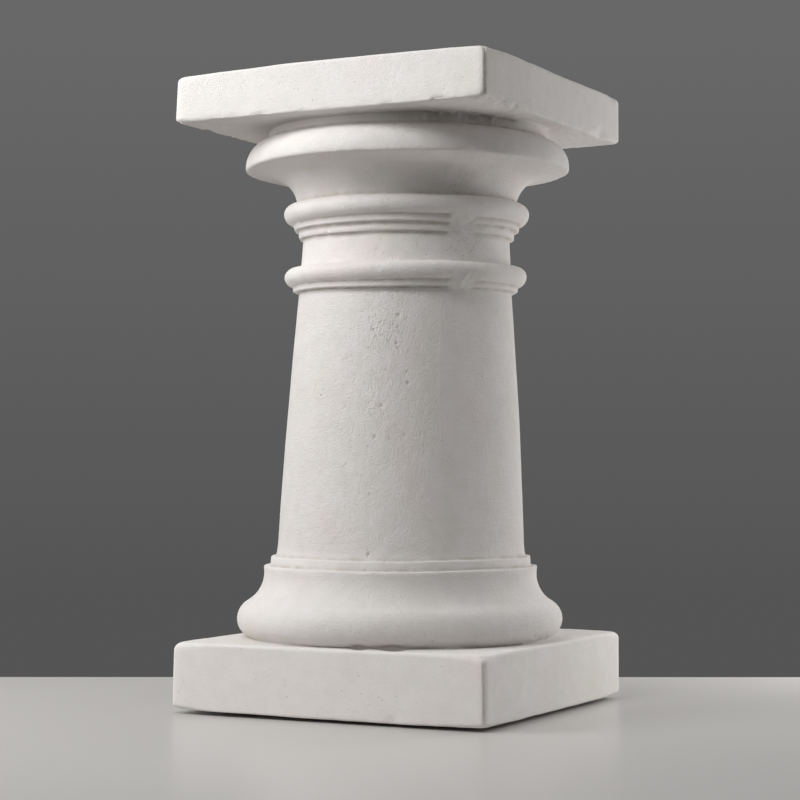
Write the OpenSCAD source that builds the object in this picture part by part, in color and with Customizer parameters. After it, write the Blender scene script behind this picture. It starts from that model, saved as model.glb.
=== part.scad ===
// Small column cast in plaster, standing upright: a square plinth, a moulded base, a tapering
// shaft, and a capital under a square slab. Sizes in millimetres; it stands on z = 0 with its
// axis on x = y = 0 and the sides of its two square blocks along x and y.

/* [Plinth] */
// length of each side of the square block at the foot
plinth_side = 280; // [200:1:400]
// thickness of the block at the foot
plinth_h = 54; // [30:1:90]
// width taken off the upright corners of both square blocks
corner_cut = 3; // [1:0.5:8]
// width taken off the level edges of both square blocks
edge_cut = 1.5; // [0.5:0.5:5]

/* [Base] */
// how far the widest part of the round base stays inside the sides of the plinth
base_margin = 3.2; // [0:0.2:20]
// height of the base moulding, from the plinth up to its sharp upper edge
base_h = 60; // [50:1:90]
// roundness of the swelling of the base, as the radius of its arc
base_round = 16.6; // [10:0.2:24]
// how far the upper edge of the base is set back from its widest part
base_setback = 22.2; // [12:0.2:34]
// roundness of the hollow above the swelling, as the radius of its arc
base_hollow = 26.6; // [15:0.2:40]
// how far the flat band that the shaft stands on is set back from the base's upper edge
band_setback = 5.2; // [2:0.2:12]
// height of that band
band_h = 8; // [4:0.5:16]

/* [Shaft] */
// height of the plain shaft between the band and the upper collar
shaft_h = 222; // [120:1:400]
// how far the foot of the shaft is set back from the band
shaft_setback = 5.5; // [2:0.1:12]
// how much smaller the radius of the shaft is at its head than at its foot
shaft_taper = 14; // [0:0.5:24]
// how far the shaft swells beyond a straight taper at half height
shaft_swell = 1.1; // [0:0.1:4]
// how far the shaft spreads where it meets the band
shaft_spread = 1.2; // [0.2:0.1:4]

/* [Neck] */
// how far the plain collar that closes the shaft stands out from the shaft
collar_out = 5.3; // [2:0.1:10]
// height of that collar
collar_h = 4.5; // [3:0.5:10]
// how far the lower bead stands out from the collar
low_bead_out = 6.9; // [4:0.1:12]
// height of the lower bead
low_bead_h = 16.5; // [10:0.5:24]
// how far the neck above the lower bead is set back from the head of the shaft
neck_setback = 0.9; // [-4:0.1:6]
// how much smaller the radius of the neck is under the rings than at its foot
neck_taper = 1.7; // [0:0.1:6]
// height of the plain neck
neck_h = 24; // [12:0.5:50]
// how far the lower of the two narrow rings stands out from the neck
low_ring_out = 3.5; // [1:0.1:8]
// height of the lower ring
low_ring_h = 7; // [3:0.5:12]
// how far the upper ring stands out from the lower one
high_ring_out = 3.6; // [1:0.1:8]
// height of the upper ring
high_ring_h = 5; // [3:0.5:12]
// how far the upper bead stands out from the upper ring
high_bead_out = 8.8; // [5:0.1:14]
// height of the upper bead
high_bead_h = 18; // [12:0.5:24]

/* [Capital] */
// how far the capital is set back from the upper ring where it leaves the upper bead
cove_setback = 2.1; // [0:0.1:6]
// roundness of the hollow that spreads out under the rim, as the radius of its arc
cove_round = 26; // [18:0.5:32]
// how far round its arc the hollow goes before the underside of the rim takes over, in degrees
cove_turn = 72; // [55:1:80]
// how far the rim, the widest part of the round capital, stands out beyond the foot of the hollow
rim_out = 44.3; // [34:0.1:56]
// height of the middle of the swelling of the rim above the upper bead
rim_rise = 30; // [26:0.5:44]
// rise of the underside of the rim from the hollow out to its edge
rim_slope = 5; // [2:0.5:9]
// roundness of the rim's upper side, as the radius of its arc
rim_round = 21.5; // [14:0.5:30]
// how far the low upright fillet under the slab is set back from the rim
fillet_setback = 19.6; // [10:0.2:30]
// height of the round capital, from the upper bead up to the slab
capital_h = 60; // [48:1:90]

/* [Slab] */
// how far the sides of the square slab on top lie outside the rim
slab_margin = 3.4; // [0:0.2:20]
// thickness of the slab on top
abacus_h = 40; // [20:1:80]

/* [Hidden] */
// how deep one turned member sinks into the next, so that they join cleanly
bite = 0.6;
// straight pieces that make up the swelling outline of the shaft
steps = 12;
// heights at which each member begins, counted up from the floor
z_base = plinth_h;
z_band = z_base + base_h;
z_shaft = z_band + band_h;
z_collar = z_shaft + shaft_h;
z_low_bead = z_collar + collar_h;
z_neck = z_low_bead + low_bead_h;
z_low_ring = z_neck + neck_h;
z_high_ring = z_low_ring + low_ring_h;
z_high_bead = z_high_ring + high_ring_h;
z_capital = z_high_bead + high_bead_h;
z_abacus = z_capital + capital_h;
total_h = z_abacus + abacus_h;
// radii of the members, each reckoned from the one it meets
base_r = plinth_side / 2 - base_margin;
base_top_r = base_r - base_setback;
band_r = base_top_r - band_setback;
shaft_foot_r = band_r - shaft_setback;
shaft_head_r = shaft_foot_r - shaft_taper;
collar_r = shaft_head_r + collar_out;
low_bead_r = collar_r + low_bead_out;
neck_foot_r = shaft_head_r - neck_setback;
neck_head_r = neck_foot_r - neck_taper;
low_ring_r = neck_head_r + low_ring_out;
high_ring_r = low_ring_r + high_ring_out;
high_bead_r = high_ring_r + high_bead_out;
cove_r = high_ring_r - cove_setback;
rim_r = cove_r + rim_out;
fillet_r = rim_r - fillet_setback;
abacus_side = 2 * (rim_r + slab_margin);
// middle of the arc of the base's swelling, sunk a little into the plinth
swell_r = base_r - base_round;
swell_z = z_base + base_round - bite;
// middle of the arc of the hollow above it, set so that the two arcs run into each other
hollow_r = base_top_r + base_hollow;
hollow_z = swell_z + sqrt(pow(base_round + base_hollow - 0.05, 2) - pow(hollow_r - swell_r, 2));
join_r = swell_r + (hollow_r - swell_r) * base_round / (base_round + base_hollow);
join_z = swell_z + (hollow_z - swell_z) * base_round / (base_round + base_hollow);
// middle of the arc of the rim, and the point where the hollow under it ends
rim_mid_r = rim_r - rim_round;
rim_z = z_capital + rim_rise;
cove_z = z_capital - 3;
cove_end_r = cove_r + cove_round * (1 - cos(cove_turn));
cove_end_z = cove_z + cove_round * sin(cove_turn);
$fn = 96;

// radius of the shaft at a fraction t of its height: a straight taper plus a swelling
function shaft_r(t) = shaft_foot_r + (shaft_head_r - shaft_foot_r) * t + shaft_swell * 4 * t * (1 - t);

// a square block with its corners and edges cut, standing on z = 0
module block(side, h) {
    intersection() {
        linear_extrude(h) cut_square(side, side, corner_cut);
        translate([0, side, h / 2]) rotate([90, 0, 0]) linear_extrude(2 * side)
            cut_square(side, h, edge_cut);
        translate([-side, 0, h / 2]) rotate([90, 0, 90]) linear_extrude(2 * side)
            cut_square(side, h, edge_cut);
    }
}

// a rectangle about the middle with its four corners cut straight
module cut_square(w, h, c) {
    polygon([[w / 2 - c, -h / 2], [w / 2, -h / 2 + c], [w / 2, h / 2 - c], [w / 2 - c, h / 2],
             [-w / 2 + c, h / 2], [-w / 2, h / 2 - c], [-w / 2, -h / 2 + c], [-w / 2 + c, -h / 2]]);
}

// half outline of a straight member from the axis out to radius r
module drum(r, z, h) {
    translate([0, z]) square([r, h]);
}

// half outline of a bead: an arc as high as the bead and a little more
module bead(r, z, h) {
    rho = h / 2 + bite / 2;
    translate([r - rho, z + h / 2]) circle(r = rho);
}

// half outline of the base: a swelling with a hollow above it, then the flat band
module base_outline() {
    drum(swell_r, z_base - 1, join_z - z_base + 1);
    translate([swell_r, swell_z]) circle(r = base_round);
    difference() {
        drum(join_r, join_z - 2, z_band - join_z + 2);
        translate([hollow_r, hollow_z]) circle(r = base_hollow);
    }
    drum(band_r, z_band - 1, band_h + 1);
}

// half outline of the shaft, spreading a little at its foot
module shaft_outline() {
    polygon(concat([[0, z_shaft - 1], [shaft_foot_r + shaft_spread, z_shaft - 1],
                    [shaft_foot_r + shaft_spread, z_shaft],
                    [shaft_foot_r + shaft_spread * 0.35, z_shaft + shaft_h * 0.016]],
                   [for (i = [1 : steps]) [shaft_r(i / steps), z_shaft + shaft_h * i / steps]],
                   [[shaft_head_r, z_collar + 1], [0, z_collar + 1]]));
}

// half outline from the collar to the upper bead
module neck_outline() {
    drum(collar_r, z_collar, collar_h + low_bead_h / 2);
    bead(low_bead_r, z_low_bead, low_bead_h);
    polygon([[0, z_low_bead], [neck_foot_r, z_low_bead + low_bead_h / 2],
             [neck_foot_r, z_neck], [neck_head_r, z_low_ring], [neck_head_r, z_low_ring + 1],
             [0, z_low_ring + 1]]);
    drum(low_ring_r, z_low_ring, low_ring_h + 1);
    drum(high_ring_r, z_high_ring, high_ring_h + high_bead_h / 2);
    bead(high_bead_r, z_high_bead, high_bead_h);
}

// half outline of the round capital: hollow below, sloping underside, rounded rim, fillet
module capital_outline() {
    difference() {
        union() {
            translate([rim_mid_r, rim_z]) circle(r = rim_round);
            drum(rim_mid_r, cove_z, rim_z + rim_round * 0.8 - cove_z);
        }
        translate([cove_r + cove_round, cove_z]) circle(r = cove_round);
        polygon([[cove_end_r, z_capital - 20], [rim_r + 20, z_capital - 20],
                 [rim_r + 20, cove_end_z + rim_slope * (rim_r + 20 - cove_end_r) / (rim_r - cove_end_r)],
                 [cove_end_r, cove_end_z]]);
    }
    drum(fillet_r, rim_z + rim_round * 0.7, z_abacus + 1 - rim_z - rim_round * 0.7);
}

// the whole casting
module column() color([0.90, 0.88, 0.84]) {
    block(plinth_side, plinth_h);
    rotate_extrude() {
        base_outline();
        shaft_outline();
        neck_outline();
        capital_outline();
    }
    translate([0, 0, z_abacus]) block(abacus_side, abacus_h);
}

column();
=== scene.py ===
"""The looks of a small plaster column: one casting, a square plinth, a turned base, shaft and
capital, and a square slab. Lengths in the making functions are millimetres, as in the part's own
drawing; the mesh is scaled to metres at the end."""

import math

import bmesh
import bpy
import numpy as np
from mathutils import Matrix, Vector


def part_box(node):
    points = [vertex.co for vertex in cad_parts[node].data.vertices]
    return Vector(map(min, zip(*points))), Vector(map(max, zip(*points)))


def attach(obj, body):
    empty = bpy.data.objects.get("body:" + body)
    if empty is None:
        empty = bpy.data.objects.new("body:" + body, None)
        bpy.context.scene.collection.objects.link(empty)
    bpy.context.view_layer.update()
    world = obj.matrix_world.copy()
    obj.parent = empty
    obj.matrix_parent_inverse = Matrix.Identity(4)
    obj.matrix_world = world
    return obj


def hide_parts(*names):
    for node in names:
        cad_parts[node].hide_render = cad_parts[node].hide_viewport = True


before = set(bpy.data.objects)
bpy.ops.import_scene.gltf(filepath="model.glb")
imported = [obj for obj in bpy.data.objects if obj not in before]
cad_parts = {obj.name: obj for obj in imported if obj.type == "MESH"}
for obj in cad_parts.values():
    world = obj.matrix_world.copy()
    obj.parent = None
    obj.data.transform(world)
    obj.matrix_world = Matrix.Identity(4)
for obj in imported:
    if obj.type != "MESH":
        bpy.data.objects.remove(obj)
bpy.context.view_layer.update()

MM = 0.001
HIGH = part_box("column")[1]
HALF_SIDE = HIGH.x / MM  # half the side of both square blocks
HEIGHT = HIGH.z / MM

# heights at which the members begin
PLINTH_TOP = 54.0
BAND = 114.0
SHAFT = 122.0
COLLAR = 344.0
LOW_BEAD = 348.5
LOW_RING = 389.0
HIGH_RING = 396.0
SLAB_UNDER = HEIGHT - 40.0
MIDWAY = 200.0  # the part of a block below this height is the plinth, and above it the slab

STEP = 0.1  # distance between the points of the outline
UNDER = 4.0  # how far the middle of the underside bulges below the block's clean form
SHRINK = HEIGHT / (HEIGHT + UNDER)  # brings the casting with that bulge back to its full height
FRONT = 27.06  # bearing of the side most often looked at, degrees from the -Y face towards +X
SEAM = 45.0  # bearing of the joint between the two halves of the mould, and its opposite


# ---------------------------------------------------------------- outline of the casting


def arc(mid_r, mid_z, rho, start, stop):
    """Points on a circle of radius rho about (mid_r, mid_z), from angle start to angle stop in
    degrees, counted from straight out and upwards."""
    turn = np.radians(np.linspace(start, stop, max(6, int(rho * abs(stop - start) / 12))))
    return np.stack([mid_r + rho * np.cos(turn), mid_z + rho * np.sin(turn)], 1)


def bead_outline(out_r, low_z, high, below_r, above_r):
    """A bead: an arc a little more than half as high as the bead, from where it meets the
    member of radius below_r to where it meets the one of radius above_r."""
    rho = high / 2 + 0.3
    mid = out_r - rho
    start = -math.degrees(math.acos(max(-1, min(1, (below_r - mid) / rho))))
    stop = math.degrees(math.acos(max(-1, min(1, (above_r - mid) / rho))))
    return arc(mid, low_z + high / 2, rho, start, stop)


def shaft_outline():
    """Radius against height for the shaft: a straight taper plus a parabola that is 1.1 mm high
    halfway up, and a short spread at the foot that dies away over 4 mm."""
    foot_r, taper, swell, spread = 103.9, 14.0, 1.1, 1.2
    t = np.linspace(0, 1, 120)
    up = (COLLAR - SHAFT) * t
    r = foot_r - taper * t + swell * 4 * t * (1 - t) + spread * np.exp(-up / 4)
    return np.stack([r, SHAFT + up], 1)


def turned_outline():
    """Half outline of the turned part, from its foot on the plinth up to the slab, as rows of
    (radius, height)."""
    band_r, collar_r, low_bead_r, fillet_r = 109.4, 95.2, 102.6, 117.0
    neck_foot_r, neck_head_r, low_ring_r, high_ring_r = 89.0, 87.3, 91.3, 95.3
    swelling = arc(120.2, 70.0, 16.6, -74.5, 60.9)
    hollow = arc(141.2, 107.7, 26.6, 240.9, 166.3)
    band = [(band_r, BAND), (band_r, SHAFT)]
    collar = [(collar_r, COLLAR)]
    low_bead = bead_outline(low_bead_r, LOW_BEAD, 16.5, collar_r, neck_foot_r)
    low_ring = [(neck_head_r, LOW_RING), (low_ring_r, LOW_RING)]
    high_ring = [(low_ring_r, HIGH_RING), (high_ring_r, HIGH_RING)]
    high_bead = arc(94.5, 410.0, 9.3, -84.0, 99.0)
    cove = arc(118.3, 416.0, 26.0, 173.0, 108.0)
    rim = arc(115.1, 449.0, 21.5, -9.0, 84.9)
    fillet = [(fillet_r, SLAB_UNDER)]
    base = (swelling, hollow, band)
    neck = (collar, low_bead, low_ring, high_ring, high_bead)
    return np.concatenate([*base, shaft_outline(), *neck, cove, rim, fillet])


def whole_outline():
    """The path from the middle of the underside, out and up over everything, to the middle of
    the top, every 0.1 mm. Each row is (side, radius, height): a point of the casting is side times
    the unit square plus radius times the unit circle, so a flat face runs from square to round.
    Such a ledge counts as 40 mm of the path, whatever its true width."""
    ledge = 40.0
    turned = turned_outline()
    foot, head = turned[0], turned[-1]
    corners = [
        ((0, 0, 0), (HALF_SIDE, 0, 0), HALF_SIDE),
        ((HALF_SIDE, 0, 0), (HALF_SIDE, 0, PLINTH_TOP), PLINTH_TOP),
        ((HALF_SIDE, 0, PLINTH_TOP), (0, foot[0], PLINTH_TOP), ledge),
    ]
    for a, b in zip(turned[:-1], turned[1:]):
        corners.append(((0, *a), (0, *b), float(np.hypot(*(b - a)))))
    corners += [
        ((0, head[0], SLAB_UNDER), (HALF_SIDE, 0, SLAB_UNDER), ledge),
        ((HALF_SIDE, 0, SLAB_UNDER), (HALF_SIDE, 0, HEIGHT), HEIGHT - SLAB_UNDER),
        ((HALF_SIDE, 0, HEIGHT), (0, 0, HEIGHT), HALF_SIDE),
    ]
    path = np.array([corners[0][0]] + [c[1] for c in corners], float)
    along = np.concatenate([[0], np.cumsum([c[2] for c in corners])])
    s = np.arange(0, along[-1], STEP)
    return s, np.stack([np.interp(s, along, path[:, k]) for k in range(3)], 1)


def eased(path, width):
    """The path with every corner rounded: each point becomes the average of its neighbours,
    weighted by a bell curve of that width in millimetres."""
    reach = round(4 * width / STEP)
    bell = np.exp(-0.5 * (np.arange(-reach, reach + 1) * STEP / width) ** 2)
    padded = np.concatenate(
        [2 * path[:1] - path[reach:0:-1], path, 2 * path[-1:] - path[-2 : -reach - 2 : -1]]
    )
    return np.stack([np.convolve(column, bell / bell.sum(), "valid") for column in padded.T], 1)


def bend(path):
    """How sharply the path turns at each point, in radians a millimetre: above nought where the
    surface swells, below nought where it is hollow."""
    out = path[:, 0] + path[:, 1]
    dr, dz = np.gradient(out, STEP), np.gradient(path[:, 2], STEP)
    return dr * np.gradient(dz, STEP) - dz * np.gradient(dr, STEP)


def choose_rows(s, path, count):
    """Places along the path for the rings of the mesh, count in all. They lie in proportion to
    these distances: 4.6 mm where the path is straight, 24 mm on the flat ends, as little as
    0.5 mm where it turns sharply, and about 1 mm over the worn arrises and under the slab."""
    straight, flat, sharpest, over_arris, on_soffit = 4.6, 24, 0.5, 1.2, 1.4
    turning = eased(np.abs(bend(path))[:, None], 1.2)[:, 0]
    density = np.clip(1 / straight + 1.5 * turning, 0, 1 / sharpest)
    flat_ends = (s < HALF_SIDE - 12) | (s > s[-1] - HALF_SIDE + 12)
    density = np.where(flat_ends, 1 / flat, density)
    for arris in arrises(s):
        density = density + bump_at(s, arris, 8) / over_arris
    soffit = arrises(s)[2] - 22
    density = density + bump_at(s, soffit, 9) / on_soffit
    steps = np.cumsum(density)
    return np.interp(np.linspace(steps[0], steps[-1], count + 2)[1:], steps, s)[:-1]


def arrises(s):
    """Where the four level arrises of the two blocks lie along the path, from the lowest up."""
    thick = HEIGHT - SLAB_UNDER
    return (HALF_SIDE, HALF_SIDE + PLINTH_TOP, s[-1] - HALF_SIDE - thick, s[-1] - HALF_SIDE)


# ---------------------------------------------------------------- unevenness


def clouds(points, size, seed):
    """Smooth random values between -1 and 1 that change over about size millimetres: seeded
    random numbers on a cubic lattice, blended with a smooth step inside each cell."""
    table = np.random.default_rng(seed).uniform(-1, 1, (32, 32, 32))
    cell = points / size
    base = np.floor(cell).astype(int)
    t = cell - base
    t = t * t * (3 - 2 * t)
    total = 0
    for corner in np.ndindex(2, 2, 2):
        at = (base + np.array(corner)) % 32
        share = np.prod(np.where(np.array(corner) == 1, t, 1 - t), axis=-1)
        total = total + share * table[at[..., 0], at[..., 1], at[..., 2]]
    return total


def ramp(x, start, stop):
    """0 before start, 1 after stop, and a smooth step between them."""
    t = np.clip((x - start) / (stop - start), 0, 1)
    return t * t * (3 - 2 * t)


def bump_at(x, middle, half_width):
    """1 at the middle, falling to about a tenth at half_width to either side: a bell curve."""
    return np.exp(-2.3 * ((x - middle) / half_width) ** 2)


def turn_from(bearing, middle):
    """Degrees from one bearing to another, between -180 and 180."""
    return (bearing - middle + 180) % 360 - 180


def unit_square(bearing, cut, power):
    """The square of half side 1 in the direction of each bearing. Its corners are rounded, as
    where the sum of the two sides raised to that power is 1, but at the joint of the mould they
    are sharp, cut off by that many millimetres of the full block, and only a little rounded."""
    sharp, a_little = 600.0, 220  # powers: the higher, the less it is rounded
    a = np.radians(bearing)
    across, along = np.sin(a), -np.cos(a)
    at_joint = across * along < 0
    power = np.where(at_joint, sharp, power)
    reach = (np.abs(across) ** power + np.abs(along) ** power) ** (-1 / power)
    sliced = (2 - cut / HALF_SIDE) / (np.abs(across) + np.abs(along))
    chipped = (reach**-a_little + sliced**-a_little) ** (-1 / a_little)
    reach = np.where(at_joint, chipped, reach)
    return np.stack([reach * across, reach * along], -1)


def bearings():
    """Bearings of the upright lines of the mesh: even all round, and closer at the four corners of
    the blocks, at the edge of the smear beside each joint of the mould, and over the crumbs
    under the slab."""
    near = np.array([0.2, 0.45, 0.6, 0.75, 0.95, 1.3, 1.8, 2.5])
    near = np.concatenate([-near, near])
    edge = np.array([3.7, 4.1, 4.5, 4.9, 5.3])
    crumbly = SEAM - 14 + 0.8 * np.arange(44)
    closer = [c + near for c in (45, 135, 225, 315)] + [SEAM + edge, SEAM + 180 - edge, crumbly]
    return np.unique(np.round(np.concatenate([np.arange(225) * 1.6] + closer) % 360, 3))


def near_corner(bearing, half_width):
    """1 at each of the four corners of the blocks, falling off over that many degrees."""
    return bump_at(turn_from(4 * bearing, 180) / 4, 0, half_width)


def round_arris(reach, z, level, inward, radius):
    """Rounds a level arris to that radius. Reach is how far out a point lies, square to the face.
    In the upright plane across the arris, a point outside the quarter circle is drawn straight
    back towards its middle, on to the circle."""
    depth = inward * (z - level)
    across, down = radius - (HALF_SIDE - reach), radius - depth
    far = np.hypot(across, down)
    outside = (across > 0) & (down > 0) & (far > radius) & (depth > -1)
    back = np.where(outside, 1 - radius / far, 0)
    return reach - across * back, z + inward * down * back


def casting_grid():
    """The surface before its blemishes, as rows by lines of points, and what the blemishes need
    to know about each point: bearing, hollowness, how much of it belongs to a block."""
    row_count, seam_cut = 270, 3.0
    s, sharp_path = whole_outline()
    crisp = eased(sharp_path, 0.35)
    soft = eased(sharp_path, 1.1)
    smeared = eased(sharp_path, 4.5)
    rows = choose_rows(s, crisp, row_count)
    lines = bearings()
    a = np.radians(lines)
    circle = np.stack([np.sin(a), -np.cos(a)], -1)

    def at_rows(values):
        return np.interp(rows, s, values)[:, None]

    level = at_rows(crisp[:, 2])
    worn = 0.25 + 0.2 * np.sin(a * 3 + 1)[None, :] * np.cos(rows / 37)[:, None]
    part = [at_rows(crisp[:, k]) * (1 - worn) + at_rows(soft[:, k]) * worn for k in range(3)]
    smear = smear_share(lines[None, :], level)
    part = [p + smear * (at_rows(smeared[:, k]) - p) for k, p in enumerate(part)]
    side, radius, z = part
    corner = near_corner(lines, 7.5)[None, :]
    uneven = 0.5 * np.sin(a * 7 + 2)[None, :] + 0.3 * np.sin(a * 23)[None, :]
    turned_reach = radius * np.max(np.abs(circle), -1)[None, :]
    reach = side + turned_reach
    for arris, inward, worn_to, more_at_corner, wander in (
        (0, 1, 1.7, 2.0, 0.3),
        (PLINTH_TOP, -1, 2.6, 3.4, 0.5),
        (SLAB_UNDER, 1, 1.5, 2.2, 0.4),
        (HEIGHT, -1, 2.0, 2.8, 0.3),
    ):
        rounded_to = worn_to + more_at_corner * corner + wander * uneven
        reach, z = round_arris(reach, z, arris, inward, rounded_to)
    side = reach - turned_reach
    near_arris = sum(np.exp(-np.abs(rows - arris) / 2.6) for arris in arrises(s))
    cut = seam_cut + 2.0 * near_arris[:, None]
    low = rows[:, None] < s[-1] / 2
    square = unit_square(lines[None, :], cut - 0.9 * ~low, np.where(low, 54.0, 60.0))
    points = np.empty((len(rows), len(lines), 3))
    points[..., :2] = side[..., None] * square + radius[..., None] * circle
    points[..., 2] = z
    block = np.clip(side / HALF_SIDE, 0, 1)
    hollow = eased(-bend(soft)[:, None], 0.8)[:, 0]
    hollow = np.clip(at_rows(hollow) * 4, -1, 1) * np.ones_like(block) * (1 - smear)
    return points, lines, block, hollow


def at_rings(level):
    """1 at the heights of the collar and of the two small rings, and 0 elsewhere."""
    low_rings = ramp(level, 338, 343) * (1 - ramp(level, 350, 356))
    return low_rings + ramp(level, 380, 387) * (1 - ramp(level, 401, 407))


def smear_share(bearing, level):
    """How far the sharp work is wiped away, from 0 to 1: on the rings beside each joint of the
    mould, where it starts at a clean edge and dies away, on the rim of the capital, and in places
    along the foot of the base."""
    off, back = turn_from(bearing, SEAM), turn_from(bearing, SEAM + 180)
    on_neck = at_rings(level)
    front_side = ramp(off + 0.6 * np.sin(level / 2.1), 2.9, 5.4) * (1 - ramp(off, 14, 23))
    back_side = ramp(-back + 0.6 * np.sin(level / 2.7), 3.4, 5.4) * (1 - ramp(-back, 14, 24))
    on_rim = ramp(level, 438, 444) * bump_at(off, 2, 9) * 0.75
    flared = bump_at(turn_from(bearing, -22), 0, 26) * 0.75 + bump_at(off, 0, 9) * 0.6
    flared = flared + bump_at(turn_from(bearing, 190), 0, 40) * 0.6
    at_foot = ramp(level, PLINTH_TOP - 0.5, PLINTH_TOP - 0.1) * (1 - ramp(level, 57, 62))
    return np.clip((front_side + back_side) * on_neck * 0.92 + on_rim + flared * at_foot, 0, 1)


# height on the casting, and how far its level lines sag there on the side that faces the front
SAG = ((340, 0), (344, 1.6), (348, 0.3), (357, 0.3), (365, 2.2), (377, 1.2), (389, 2.0), (396, 1.5),
       (401, 0.2), (410, 0.6), (419, 3.0), (430, 1.0), (445, 0))


def lean(points, lines, block):
    """The turned part stands a little off the middle of the blocks and leans: its axis is 4.4 mm
    to one side at the foot and 2.7 mm to the other at the head. Its rings wander by a third of a
    millimetre and sag at the front, and are 0.9 mm lower past the joint of the mould. One side of
    each block slopes. The middle of the underside bulges below its edges."""
    axis_at_foot, axis_at_head, step_at_joint = -4.4, 2.7, 0.9
    a = np.radians(FRONT)
    right = np.array([np.cos(a), np.sin(a)])
    z = points[..., 2].copy()
    turned = (1 - block) * (z > PLINTH_TOP / 2) * (z < (SLAB_UNDER + HEIGHT) / 2)
    shift = np.interp(z, (PLINTH_TOP, SLAB_UNDER), (axis_at_foot, axis_at_head)) * turned
    b = np.radians(lines)[None, :]
    wander = 0.3 * np.sin(b * 2 + z / 31) + 0.22 * np.sin(b * 5 + 2 + z / 17)
    off = turn_from(lines, SEAM)[None, :]
    past_joint = ramp(off, 3.4, 5.4) * (1 - ramp(off, 45, 110)) * at_rings(z)
    facing = 0.5 + 0.5 * np.cos(b - a)
    sag = np.interp(z, *np.array(SAG).T) * facing**2 * (1 - 0.6 * past_joint)
    points[..., :2] += shift[..., None] * right
    points[..., 2] += (wander - step_at_joint * past_joint - sag) * turned

    # the blocks: h is 0 at the underside of each and 1 at its top
    low = z < MIDWAY
    h = np.clip(np.where(low, z / PLINTH_TOP, (z - SLAB_UNDER) / (HEIGHT - SLAB_UNDER)), 0, 1)
    x, y = points[..., 0].copy(), points[..., 1].copy()
    out_at_foot, slope = np.where(low, 3.6, 1.4), np.where(low, 1.6, 2.4)
    points[..., 0] -= ramp(-x, 40, 138) * block * (out_at_foot - h * slope)
    points[..., 0] += ramp(x, 40, 138) * ramp(y, 20, 138) * block * ~low * 1.2
    dip = ramp(-x, 20, 150) * ramp(-y, -60, 150)
    points[..., 2] -= dip * block * np.where(low, 0, h) * 2.6
    rim = ramp(np.maximum(np.abs(x), np.abs(y)), 96, 128)
    edge = 0.7 + 0.3 * ramp(-y, 112, 132) - 1.3 * ramp(-x, 90, 140)
    points[..., 2] -= (UNDER * (1 - rim) + edge * rim) * low * (1 - h) ** 2
    return points


def outward(points):
    """Outward direction at each point of the grid: the cross product of the step to the next line
    and the step to the next row."""
    around = np.roll(points, -1, 1) - np.roll(points, 1, 1)
    up = np.gradient(points, axis=0)
    n = np.cross(around, up)
    return n / np.maximum(np.linalg.norm(n, axis=-1, keepdims=True), 1e-9)


def seam_scar(points, lines, block):
    """1 in the strip scraped along the two upright arrises where the halves of the mould met, and
    0 elsewhere. The strip is as wide as the cut corner, and stops short of the blocks' ends."""
    z = points[..., 2]
    low = z < MIDWAY
    up = np.where(low, z, z - SLAB_UNDER)
    thick = np.where(low, PLINTH_TOP - 5, HEIGHT - SLAB_UNDER)
    on_side = (block > 0.985) * ramp(up, 1, 4) * (1 - ramp(up, thick - 3, thick))
    aside = np.where(low, 0, 0.3)
    off = np.abs(turn_from(lines, SEAM)[None, :] - aside)
    off = np.minimum(off, np.abs(turn_from(lines, SEAM + 180)[None, :] - aside))
    off = off * np.where(low, 1.9 - 0.55 * up / thick, 1.8) + 0.12 * clouds(points, 3.5, 17)
    return (1 - ramp(off, 0.46, 0.78)) * on_side


def foot_slits(points, lines, block):
    """1 in two flat slits left open at the foot of the base, on the plinth, and 0 elsewhere."""
    off = turn_from(lines, SEAM)[None, :]
    along = bump_at(off, -32.5, 3.4) + bump_at(off, -20.5, 6.4)
    return np.clip(along * bump_at(points[..., 2], 55.4, 2.2) * (1 - block), 0, 1)


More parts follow.
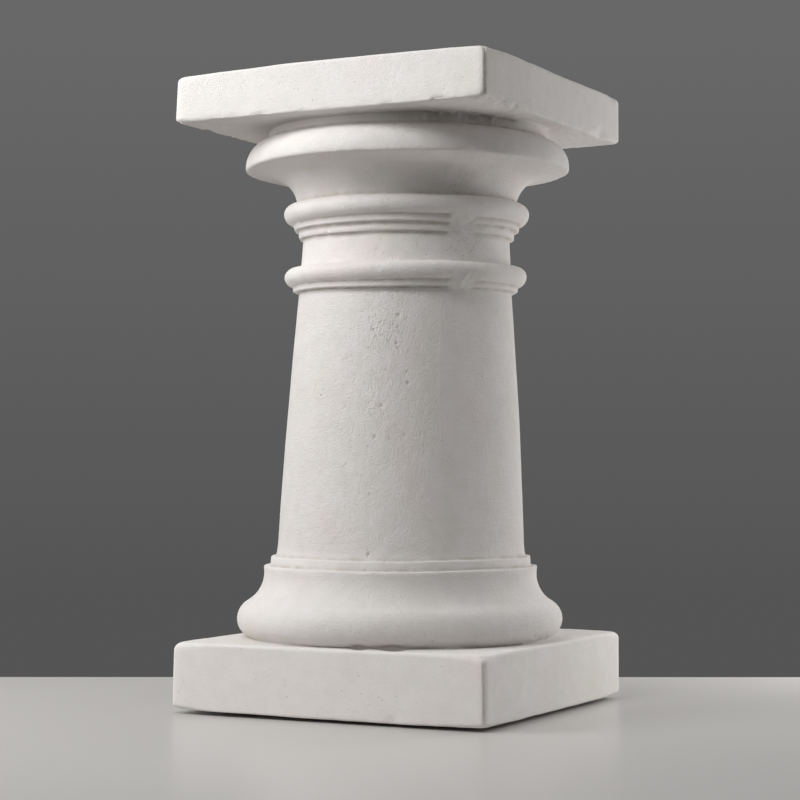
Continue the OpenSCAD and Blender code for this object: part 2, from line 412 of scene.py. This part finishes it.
def relief(points, lines, block, hollow, scar):
    """How far each point stands out of the true surface, in millimetres: slow unevenness, worn
    arrises, the fin and the scar left by the mould's joint, a fuller hollow under the capital on
    one side of it, slits at the foot of the base, and lumps and crumbs under the slab."""
    z = points[..., 2]
    off_seam = turn_from(lines, SEAM)[None, :] * np.ones_like(z)
    off_back = turn_from(lines, SEAM + 180)[None, :] * np.ones_like(z)
    turned = 1 - block
    rise = 0.42 * clouds(points, 75, 1) + 0.16 * clouds(points, 24, 2) + 0.07 * clouds(points, 8, 3)

    # arrises worn, crevices filled in places, and the slab's lower arris chipped
    arris = np.clip(-hollow, 0, 1)
    wear = np.clip(0.35 + 1.1 * clouds(points, 9, 4) + 0.8 * clouds(points, 26, 5), 0, 2)
    rise -= arris * wear * (0.42 - 0.2 * block)
    crevice = np.clip(hollow, 0, 1)
    rise += crevice * np.clip(clouds(points, 9, 6) + 0.1, 0, 1) * 0.6
    chips = bump_at(z, SLAB_UNDER + 0.5, 4) * np.clip(clouds(points, 5, 18) - 0.15, 0, 1)
    rise -= chips * block * (z > MIDWAY) * 1.7

    # the joint of the mould: a thin fin up the turned part, and the scar on the blocks
    fin = bump_at(off_seam, 0.6 * np.sin(z / 23), 1.2) * (1 - 0.6 * ramp(z, 330, 345))
    fin = fin + 0.8 * bump_at(off_back, 0.4, 1.1)
    rise += fin * turned * np.clip(0.3 + 1.3 * clouds(points, 16, 7), -0.4, 1) * 0.28
    rise -= scar * (0.8 + 0.4 * clouds(points, 7, 13))

    # beside the joint the hollow under the capital is fuller, and under the slab there are
    # crumbs, lumps on one side and a step on the other
    fuller = ramp(off_seam, -0.6, 2.2) * (1 - ramp(off_seam, 12, 34)) * ramp(z, 421, 430)
    rise += fuller * (1 - ramp(z, 436, 446)) * turned * 1.3
    under_slab = ramp(z, 470, 474.5) * ramp(turned, 0.8, 1) * (z < SLAB_UNDER + 2)
    crumbly = ramp(off_seam, -16, -9) * (1 - ramp(off_seam, 20, 40))
    crumbly = crumbly + 0.8 * bump_at(off_back, -6, 15)
    rise += crumbly * under_slab * (np.clip(clouds(points, 3.4, 8) + 0.1, 0, 1) * 3.4 - 0.6)
    lumpy = (1 - ramp(off_seam, -34, -14)) * ramp(off_seam, -160, -110)
    rise += lumpy * under_slab * (0.7 + 0.7 * clouds(points, 17, 14))
    stepped = ramp(off_seam, 20, 30) * (1 - ramp(off_seam, 60, 61.6))
    rise += stepped * under_slab * (1.9 + 0.6 * clouds(points, 6, 16))

    # a ragged, slit foot of the base, and a rough strip beside the joint from the rings upwards
    at_foot = bump_at(z, PLINTH_TOP + 2, 5) * turned * (z > PLINTH_TOP - 1)
    rise += (0.4 + 1.7 * bump_at(off_seam, 38, 14)) * at_foot * clouds(points, 5, 9) * 0.9
    rise -= foot_slits(points, lines, block) * 3.8
    strip = ramp(off_seam, 3, 7) * (1 - ramp(off_seam, 20, 34)) * ramp(z, 330, 350) * turned
    rise += strip * (0.26 * clouds(points, 5, 10) + 0.2 * clouds(points, 12, 11))
    rise += strip * at_rings(z) * 0.3 * clouds(points, 4.2, 19)
    return rise


def broken_skin(points, lines, block):
    """Where the skin of the cast is broken, from 0 to 1: a patch high on the shaft, the strip
    beside the joint of the mould, the fronts of the beads, the foot of the base, the crumbs under
    the slab, the slab's lower arris and, faintly, the upper arrises of both blocks."""
    z = points[..., 2]
    off_seam = turn_from(lines, SEAM)[None, :]
    patch = bump_at(turn_from(lines, 13.0)[None, :], 0, 20) * bump_at(z, 306, 42)
    patch = patch + 0.5 * bump_at(turn_from(lines, 14.0)[None, :], 0, 24) * bump_at(z, 245, 50)
    strip = ramp(off_seam, 3, 6) * (1 - ramp(off_seam, 20, 36)) * ramp(z, 336, 344)
    strip = strip * (1 - ramp(z, 430, 460)) * 0.9
    beads = (bump_at(z, 357, 8) + bump_at(z, 402, 14)) * 0.6
    beads = beads * bump_at(turn_from(lines, 8.0)[None, :], 0, 34)
    at_foot = bump_at(z, 58, 7) * (0.15 + 0.9 * bump_at(off_seam, 38, 15))
    under_slab = ramp(z, 468, 474) * (z < SLAB_UNDER + 2) * ramp(block, 0.1, 0)
    under_slab = under_slab * bump_at(off_seam, 8, 30)
    low_arris = bump_at(z, SLAB_UNDER + 3, 14) * bump_at(off_seam, 18, 30) * 0.8
    top_arrises = bump_at(z, HEIGHT, 8) * 0.2 + bump_at(z, PLINTH_TOP, 6) * 0.25
    cloudy = np.clip(0.75 + 0.8 * clouds(points, 18, 15), 0, 1.3)
    on_turned, on_block = patch + strip + beads + under_slab + at_foot, low_arris + top_arrises
    return np.clip((on_turned * (1 - block) + on_block * block) * cloudy, 0, 1)


def grain_of_skin(points, block):
    """How coarse the skin is, where 1 is an even grain: finest on the plinth, coarser on the slab
    and the rings, and coarsest on the shaft."""
    on_plinth, on_slab, on_rings, on_shaft = 0.38, 0.85, 1.15, 1.75
    z = points[..., 2]
    shaft = ramp(z, 120, 135) * (1 - ramp(z, 335, 345))
    on_turned = on_rings + (on_shaft - on_rings) * shaft
    on_block = np.where(z > MIDWAY, on_slab, on_plinth)
    return on_turned + (on_block - on_turned) * ramp(block, 0.6, 0.95)


def nicks(points):
    """Small chips out of the level arrises of the blocks: each is a ball-shaped bite, given by its
    middle, its radius and its depth, that pushes points in, square to the side it is on."""
    at_side = HALF_SIDE - 2
    for x, y, z, radius, depth in (
        (-84, -141, 479, 7, 1.8),
        (141, 96, 478, 12, 4.5),
        (141, 82, 477, 8, 2.6),
        (140, 122, 519, 8, 1.0),
        (-30, 141, 479, 9, 2.0),
        (-141, 40, 519, 7, 1.2),
        (60, -141, 1, 7, 1.5),
        (-141, -90, 0, 10, 2.0),
    ):
        d = np.linalg.norm(points - (x, y, z), axis=-1)
        inward = -np.sign((x, y, 0)) * (np.abs((x, y, 0)) > at_side)
        points += (depth * (1 - ramp(d, 0, radius)))[..., None] * inward
    return points


# ---------------------------------------------------------------- air bubbles

# bearing in degrees, height, radius and depth of the larger open bubbles on the turned part
LARGE_BUBBLES = (
    (24, 319, 1.8, 1.5), (15, 313, 1.4, 1.2), (24, 309, 1.1, 1.0), (23, 296, 1.5, 1.2),
    (9, 292, 1.0, 0.9), (24, 292, 1.2, 1.0), (84, 280, 1.2, 1.0), (28, 273, 1.1, 1.0),
    (2, 271, 1.0, 0.9), (68, 270, 1.2, 1.0), (28.5, 264, 1.7, 1.4), (-21, 263, 1.1, 0.9),
    (-17, 255, 1.4, 1.1), (16, 246, 1.5, 1.3), (-2, 245, 1.1, 1.0), (27, 222, 1.2, 1.0),
    (13, 221, 1.6, 1.3), (20, 219, 1.3, 1.1), (10, 213, 1.2, 1.1), (-12, 212, 1.0, 0.9),
    (5, 191, 1.0, 0.9), (6, 176, 1.0, 0.9), (11, 175, 1.2, 1.0), (73, 170, 1.1, 0.9),
    (11, 127, 1.8, 1.4), (55, 372, 1.1, 0.9), (90, 60, 1.9, 1.4), (81, 60, 1.6, 1.3),
    (85, 59, 1.3, 1.1), (-29, 59, 1.2, 1.0), (-17, 60, 1.2, 1.0), (9, 68, 1.1, 0.9),
)


def small_bubbles():
    """Seeded open bubbles: a cluster on one side of the shaft and a thin scatter all round."""
    depth_to_radius = 0.85
    rng = np.random.default_rng(21)
    near = np.stack([rng.normal(16, 10, 26), rng.normal(295, 26, 26)], 1)
    middle = np.stack([rng.normal(12, 16, 16), rng.normal(225, 30, 16)], 1)
    far = np.stack([rng.uniform(60, 350, 46), rng.uniform(130, 338, 46)], 1)
    base = np.stack([rng.uniform(0, 360, 26), rng.uniform(60, 104, 26)], 1)
    neck = np.stack([rng.uniform(0, 360, 10), rng.uniform(368, 386, 10)], 1)
    spots = np.concatenate([near, middle, far, base, neck])
    size = rng.uniform(0.55, 1.05, len(spots))
    return [(b, z, r, r * depth_to_radius) for (b, z), r in zip(spots, size)]


def open_bubbles(mesh, bubbles):
    """Cuts the faces round each bubble into sixteen, then presses the surface in along its own
    normal: deepest over the inner fifth of the bubble's radius, with a smooth step out to its
    rim. How far each point was pressed in is kept as the attribute hole."""
    turned_from, turned_to = 80, 139  # distances from the axis between which a bubble can lie
    deepest, upright = 0.8, 0.92  # share of the given depth; below 1 a bubble is taller than wide
    count = len(mesh.polygons)
    middles = np.empty(count * 3)
    mesh.polygons.foreach_get("center", middles)
    middles = middles.reshape(-1, 3)
    bearing = np.degrees(np.arctan2(middles[:, 0], -middles[:, 1]))
    span = np.hypot(middles[:, 0], middles[:, 1])
    chosen = np.zeros(count, bool)
    spots = []
    for b, z, radius, depth in bubbles:
        arc_away = np.radians(turn_from(bearing, b)) * span
        away = np.hypot(arc_away, middles[:, 2] - z)
        away[(span > turned_to) | (span < turned_from)] = np.inf
        nearest = int(np.argmin(away))
        if away[nearest] < 8:
            a = np.radians(b)
            spots.append((span[nearest] * np.sin(a), -span[nearest] * np.cos(a), z, radius, depth))
            chosen |= np.linalg.norm(middles - spots[-1][:3], axis=1) < radius + 1.7
    bm = bmesh.new()
    bm.from_mesh(mesh)
    bm.faces.ensure_lookup_table()
    faces = [bm.faces[i] for i in np.nonzero(chosen)[0]]
    edges = list({e for f in faces for e in f.edges})
    bmesh.ops.subdivide_edges(bm, edges=edges, cuts=3, use_grid_fill=True)
    bmesh.ops.recalc_face_normals(bm, faces=bm.faces)
    bm.to_mesh(mesh)
    bm.free()
    total = len(mesh.vertices)
    co, normals = np.empty(total * 3), np.empty(total * 3)
    mesh.vertices.foreach_get("co", co)
    mesh.vertices.foreach_get("normal", normals)
    co, normals = co.reshape(-1, 3), normals.reshape(-1, 3)
    pressed = np.zeros(total)
    for x, y, z, radius, depth in spots:
        d = np.linalg.norm((co - (x, y, z)) * (1, 1, upright), axis=1)
        pressed = np.maximum(pressed, deepest * depth * (1 - ramp(d, 0.2 * radius, radius)))
    co -= normals * pressed[:, None]
    mesh.vertices.foreach_set("co", co.ravel())
    hole = mesh.attributes.new("hole", "FLOAT", "POINT")
    hole.data.foreach_set("value", np.clip(pressed, 0, 1.0))


# ---------------------------------------------------------------- mesh


def cast_column():
    """The whole casting as one closed mesh: rings of points from the middle of the underside to
    the middle of the top, closed by a fan of triangles at each end. What the plaster needs to know
    about each point goes with it as attributes."""
    points, lines, block, hollow = casting_grid()
    points = lean(points, lines, block)
    scar = seam_scar(points, lines, block)
    points = points + outward(points) * relief(points, lines, block, hollow, scar)[..., None]
    points = nicks(points)
    on_flat_end = (points[..., 2] > HEIGHT - 3) | (points[..., 2] < 2)
    block = np.where(on_flat_end, 1, block)
    # the attribute hollow darkens the plaster: dust, and painted shade in the crevices, the scraped
    # strip of the mould's joint and the slits at the foot
    looks = {
        "hollow": np.maximum(hollow, np.maximum(scar, foot_slits(points, lines, block))),
        "broken": broken_skin(points, lines, block),
        "grain": grain_of_skin(points, block),
        "block": block,
    }
    points[..., 2] = np.clip(points[..., 2], -UNDER, HEIGHT)
    rows, n = points.shape[:2]
    flat = np.concatenate([points.reshape(-1, 3), [[0, 0, -UNDER], [0, 0, HEIGHT]]])
    i, j = np.meshgrid(np.arange(rows - 1), np.arange(n), indexing="ij")
    k = (j + 1) % n
    quads = np.stack([i * n + j, i * n + k, (i + 1) * n + k, (i + 1) * n + j], -1).reshape(-1, 4)
    j = np.arange(n)
    k = (j + 1) % n
    under = np.stack([np.full(n, rows * n), k, j], -1)
    last = (rows - 1) * n
    over = np.stack([np.full(n, rows * n + 1), last + j, last + k], -1)
    mesh = bpy.data.meshes.new("column_casting")
    mesh.from_pydata(flat.tolist(), [], quads.tolist() + under.tolist() + over.tolist())
    mesh.update()
    for name, values in looks.items():
        layer = mesh.attributes.new(name, "FLOAT", "POINT")
        middle = [values[0].mean(), values[-1].mean()]
        layer.data.foreach_set("value", np.append(values.ravel(), middle))
    open_bubbles(mesh, list(LARGE_BUBBLES) + small_bubbles())
    co = np.empty(len(mesh.vertices) * 3)
    mesh.vertices.foreach_get("co", co)
    on_floor = (co.reshape(-1, 3) + (0, 0, UNDER)) * SHRINK
    mesh.vertices.foreach_set("co", on_floor.ravel() * MM)
    mesh.polygons.foreach_set("use_smooth", np.ones(len(mesh.polygons), bool))
    mesh.update()
    casting = bpy.data.objects.new("column_casting", mesh)
    bpy.context.scene.collection.objects.link(casting)
    return casting


# ---------------------------------------------------------------- finishes


def linear(code):
    """An sRGB hex colour such as #e8e4dc as linear red, green, blue and full alpha."""
    s = np.array([int(code[i : i + 2], 16) / 255 for i in (1, 3, 5)])
    out = np.where(s <= 0.04045, s / 12.92, ((s + 0.055) / 1.055) ** 2.4)
    return (*out.tolist(), 1.0)


def add_node(tree, kind, settings=None, **inputs):
    """Adds a node of that kind. Settings go on the node; inputs name its sockets, with _ for a
    space or a number as _0, and each is a value or an output to link."""
    made = tree.nodes.new(kind)
    for name, value in (settings or {}).items():
        setattr(made, name, value)
    for name, value in inputs.items():
        key = int(name[1:]) if name[1:].isdigit() else name.replace("_", " ")
        socket = made.inputs[key]
        if isinstance(value, bpy.types.NodeSocket):
            tree.links.new(value, socket)
        else:
            socket.default_value = value
    return made


def tinted_white(t, place):
    """The colour of clean plaster: a warm white with drifts of pink and straw and fine specks."""
    # over the white in turn: slow drift, pink and straw tints, mottling the size of a fingertip
    # and fine specks. Each row: size in mm, noise where it starts and is full, share, colour
    colour = linear("#e9e5e3")
    for size, start, full, share, code in (
        (90.0, 0.35, 0.65, 1.0, "#e5e1de"),
        (62.0, 0.52, 0.72, 0.6, "#e8dddb"),
        (47.0, 0.54, 0.74, 0.5, "#e3e0d2"),
        (14.0, 0.42, 0.72, 0.4, "#dad6d1"),
        (2.4, 0.60, 0.74, 0.26, "#cbc6c0"),
    ):
        noise = add_node(
            t,
            "ShaderNodeTexNoise",
            {"noise_dimensions": "4D"},
            Vector=place,
            W=size,
            Scale=1 / (size * MM),
            Detail=3.0,
        )
        laid = add_node(
            t,
            "ShaderNodeMapRange",
            Value=noise.outputs["Fac"],
            From_Min=start,
            From_Max=full,
            To_Max=share,
        )
        colour = add_node(
            t,
            "ShaderNodeMix",
            {"data_type": "RGBA"},
            _0=laid.outputs[0],
            _6=colour,
            _7=linear(code),
        ).outputs[2]
    return colour


def with_dust_and_painted_shade(t, place, colour, hollow, hole):
    """That colour darkened in the crevices and the open bubbles: partly settled dust, partly
    painted shade.
    """
    # patchy over 11 mm
    patchy = add_node(t, "ShaderNodeTexNoise", Vector=place, Scale=1 / (11 * MM), Detail=3.0)
    patchy = add_node(
        t,
        "ShaderNodeMapRange",
        Value=patchy.outputs["Fac"],
        From_Min=0.3,
        From_Max=0.7,
        To_Min=0.25,
        To_Max=0.85,
    )
    deep = add_node(t, "ShaderNodeMapRange", Value=hollow, From_Min=0.1, From_Max=0.9)
    dust_and_shade = add_node(
        t, "ShaderNodeMath", {"operation": "MULTIPLY"}, _0=patchy.outputs[0], _1=deep.outputs[0]
    )
    in_hole = add_node(t, "ShaderNodeMapRange", Value=hole, From_Min=0.1, From_Max=0.9, To_Max=0.35)
    # painted shade: these two darkenings stand partly for dust and partly for the shadow in
    # crevices and bubbles
    for share, code in ((dust_and_shade, "#bfb8ae"), (in_hole, "#b5aea2")):
        colour = add_node(
            t,
            "ShaderNodeMix",
            {"data_type": "RGBA"},
            _0=share.outputs[0],
            _6=colour,
            _7=linear(code),
        ).outputs[2]
    return colour


def skin_height(t, place, coarse, block):
    """The height of the unbroken skin in millimetres, for the bump."""
    # dimples of 5.5 mm and a grain of 1.1 mm, both as coarse as the skin is and turned askew so
    # that the lattice of the noise doesn't show along the edges, and on what was turned faint
    # level marks 1.6 mm apart, passed on by the mould. Each row: size in mm, roughness of the
    # noise, stretch sideways, turn in radians, height in mm, share
    marked = add_node(t, "ShaderNodeMath", {"operation": "SUBTRACT"}, _0=1.0, _1=block).outputs[0]
    height = 0.0
    for size, rough, stretch, turn, high, share in (
        (5.5, 0.5, 1.0, 0.6, 0.45, coarse),
        (1.1, 0.6, 1.0, 0.9, 0.72, coarse),
        (1.6, 0.5, 0.07, 0.0, 0.16, marked),
    ):
        drawn = add_node(
            t,
            "ShaderNodeMapping",
            Vector=place,
            Rotation=(turn, turn, turn),
            Scale=(stretch, stretch, 1.0),
        )
        noise = add_node(
            t,
            "ShaderNodeTexNoise",
            Vector=drawn.outputs[0],
            Scale=1 / (size * MM),
            Detail=3.0,
            Roughness=rough,
        )
        swell = add_node(
            t, "ShaderNodeMath", {"operation": "MULTIPLY"}, _0=noise.outputs["Fac"], _1=high
        )
        height = add_node(
            t,
            "ShaderNodeMath",
            {"operation": "MULTIPLY_ADD"},
            _0=swell.outputs[0],
            _1=share,
            _2=height,
        ).outputs[0]
    return height


def with_pits(t, place, colour, height, block, broken):
    """That colour and height with the pits, grains and crumbs too small for the mesh."""
    # tiny pits 5 mm apart in places, and in the broken skin pits 3 mm apart and grains of 1.6 mm.
    # Each row: spacing in mm, where it is at its full and where it ends as shares of that, height
    # in mm (below nought for a pit), how far it darkens as painted shade inside the pit, and where
    # there are any
    crowded = add_node(t, "ShaderNodeTexNoise", Vector=place, Scale=1 / (26 * MM))
    crowded = add_node(
        t,
        "ShaderNodeMath",
        {"operation": "MULTIPLY_ADD"},
        _0=block,
        _1=0.02,
        _2=crowded.outputs["Fac"],
    )
    crowded = add_node(
        t, "ShaderNodeMapRange", Value=crowded.outputs[0], From_Min=0.5, From_Max=0.62
    )
    for apart, inner, outer, high, dark, share in (
        (5.0, 0.06, 0.15, -0.40, 0.3, crowded.outputs[0]),
        (3.0, 0.08, 0.24, -0.80, 0.5, broken),
        (1.6, 0.05, 0.45, 0.38, 0.0, broken),
    ):
        cells = add_node(t, "ShaderNodeTexVoronoi", Vector=place, Scale=1 / (apart * MM))
        inside = add_node(
            t,
            "ShaderNodeMapRange",
            Value=cells.outputs["Distance"],
            From_Min=inner,
            From_Max=outer,
            To_Min=1.0,
            To_Max=0.0,
        )
        pits = add_node(
            t, "ShaderNodeMath", {"operation": "MULTIPLY"}, _0=inside.outputs[0], _1=share
        ).outputs[0]
        height = add_node(
            t, "ShaderNodeMath", {"operation": "MULTIPLY_ADD"}, _0=pits, _1=high, _2=height
        ).outputs[0]
        # painted shade: the pits are darkened as if shadowed inside
        shade = add_node(t, "ShaderNodeMath", {"operation": "MULTIPLY"}, _0=pits, _1=dark)
        colour = add_node(
            t,
            "ShaderNodeMix",
            {"data_type": "RGBA"},
            _0=shade.outputs[0],
            _6=colour,
            _7=linear("#a39c90"),
        ).outputs[2]

    # crumbs of 1.7 mm, up to 0.35 mm high, where the skin is broken
    crumbs = add_node(
        t, "ShaderNodeTexNoise", Vector=place, Scale=1 / (1.7 * MM), Detail=4.0, Roughness=0.6
    )
    crumbs = add_node(
        t, "ShaderNodeMath", {"operation": "MULTIPLY"}, _0=crumbs.outputs["Fac"], _1=broken
    )
    height = add_node(
        t, "ShaderNodeMath", {"operation": "MULTIPLY_ADD"}, _0=crumbs.outputs[0], _1=0.35, _2=height
    ).outputs[0]
    return colour, height


def gypsum_plaster():
    """Cast gypsum plaster, unpainted: matt and chalky, darker in crevices, bubbles and pits from
    dust and painted shade, and grainy where its skin is broken."""
    m = bpy.data.materials.new("cast_gypsum_plaster")
    m.use_nodes = True
    t = m.node_tree
    t.nodes.clear()
    place = add_node(t, "ShaderNodeTexCoord").outputs["Object"]
    hollow, hole, block, broken, coarse = (
        add_node(t, "ShaderNodeAttribute", {"attribute_name": name}).outputs["Fac"]
        for name in ("hollow", "hole", "block", "broken", "grain")
    )
    colour = with_dust_and_painted_shade(t, place, tinted_white(t, place), hollow, hole)
    height = skin_height(t, place, coarse, block)
    colour, height = with_pits(t, place, colour, height, block, broken)
    bumped = add_node(t, "ShaderNodeBump", Strength=1.0, Distance=MM, Height=height)
    shader = add_node(
        t,
        "ShaderNodeBsdfPrincipled",
        Base_Color=colour,
        Roughness=0.9,
        IOR=1.52,
        Specular_IOR_Level=0.25,
        Normal=bumped.outputs[0],
    )
    add_node(t, "ShaderNodeOutputMaterial", Surface=shader.outputs[0])
    return m


def plain_finish(name, code, roughness):
    """An even painted finish for the floor."""
    m = bpy.data.materials.new(name)
    m.use_nodes = True
    shader = m.node_tree.nodes["Principled BSDF"]
    shader.inputs["Base Color"].default_value = linear(code)
    shader.inputs["Roughness"].default_value = roughness
    return m


# ---------------------------------------------------------------- the scene


def lay_floor():
    """A plain pale floor that ends a little behind the column, square to the front view."""
    half_width, near, far = 0.6, -0.62, 0.24
    a = math.radians(FRONT)
    right, away = np.array([math.cos(a), math.sin(a)]), np.array([-math.sin(a), math.cos(a)])
    reach = ((-half_width, near), (half_width, near), (half_width, far), (-half_width, far))
    corners = [right * x + away * y for x, y in reach]
    mesh = bpy.data.meshes.new("floor")
    mesh.from_pydata([(x, y, 0.0) for x, y in corners], [], [(0, 1, 2, 3)])
    mesh.update()
    floor = bpy.data.objects.new("floor", mesh)
    bpy.context.scene.collection.objects.link(floor)
    mesh.materials.append(plain_finish("pale_floor", "#c9c6c3", 0.32))


def aim(thing, target):
    """Turns a light so that it shines at the target, in metres."""
    away = thing.location - target
    thing.rotation_euler = away.to_track_quat("Z", "Y").to_euler()


def soft_light(name, bearing, distance, height, size, watts, target_z):
    """A square soft box at a bearing from the -Y face, at that distance and height in metres,
    aimed at a height above the middle of the floor. Returns it."""
    data = bpy.data.lights.new(name, "AREA")
    data.shape, data.size, data.energy = "SQUARE", size, watts
    lamp = bpy.data.objects.new(name, data)
    a = math.radians(bearing)
    lamp.location = (distance * math.sin(a), -distance * math.cos(a), height)
    aim(lamp, Vector((0, 0, target_z)))
    bpy.context.scene.collection.objects.link(lamp)
    return lamp


def light_room():
    """A large soft light from the left, a small one on the capital, a weaker one from the right
    and behind, whose mirror image is kept off the floor, and a dim grey room all round."""
    # name, bearing, distance, height, size, watts, height aimed at
    soft_light("key", FRONT - 79, 0.92, 0.66, 0.6, 6.6, 0.44)
    soft_light("upper", FRONT - 32, 0.6, 0.84, 0.25, 1.95, 0.47)
    fill = soft_light("fill", FRONT + 115, 0.7, 0.25, 0.45, 3.0, 0.29)
    fill.visible_glossy = False
    world = bpy.context.scene.world or bpy.data.worlds.new("room")
    bpy.context.scene.world = world
    world.use_nodes = True
    t = world.node_tree
    t.nodes.clear()
    way = add_node(t, "ShaderNodeTexCoord").outputs["Generated"]
    upward = add_node(t, "ShaderNodeSeparateXYZ", Vector=way).outputs["Z"]

    # the light felt from the room, and the backdrop seen: both grow from the floor upwards
    felt, seen = (
        add_node(
            t,
            "ShaderNodeMapRange",
            Value=upward,
            From_Min=start,
            From_Max=stop,
            To_Min=dim,
            To_Max=bright,
        ).outputs[0]
        for start, stop, dim, bright in ((-0.3, 0.6, 0.05, 0.43), (-0.06, 0.2, 0.09, 0.138))
    )
    felt, seen = (
        add_node(t, "ShaderNodeBackground", Color=linear("#ffffff"), Strength=strength).outputs[0]
        for strength in (felt, seen)
    )
    direct = add_node(t, "ShaderNodeLightPath").outputs["Is Camera Ray"]
    both = add_node(t, "ShaderNodeMixShader", _0=direct, _1=felt, _2=seen).outputs[0]
    add_node(t, "ShaderNodeOutputWorld", Surface=both)
    bpy.context.scene.view_settings.view_transform = "Standard"


def place_camera():
    """A camera 1.8 m away and 0.2 m above the floor, at the front view's bearing, tilted up a
    little, with a 96 mm lens on a 36 mm wide film."""
    distance, height, tilt, aside = 1.79, 0.2002, math.radians(1.764), math.radians(0.127)
    data = bpy.data.cameras.new("camera")
    data.lens, data.sensor_width = 96.06, 36.0
    camera = bpy.data.objects.new("camera", data)
    a = math.radians(FRONT)
    camera.location = (distance * math.sin(a), -distance * math.cos(a), height)
    camera.rotation_euler = (math.pi / 2 + tilt, 0.0, a + aside)
    bpy.context.scene.collection.objects.link(camera)
    bpy.context.scene.camera = camera


casting = cast_column()
casting.data.materials.append(gypsum_plaster())
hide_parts("column")
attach(casting, "root")
lay_floor()
light_room()
place_camera()
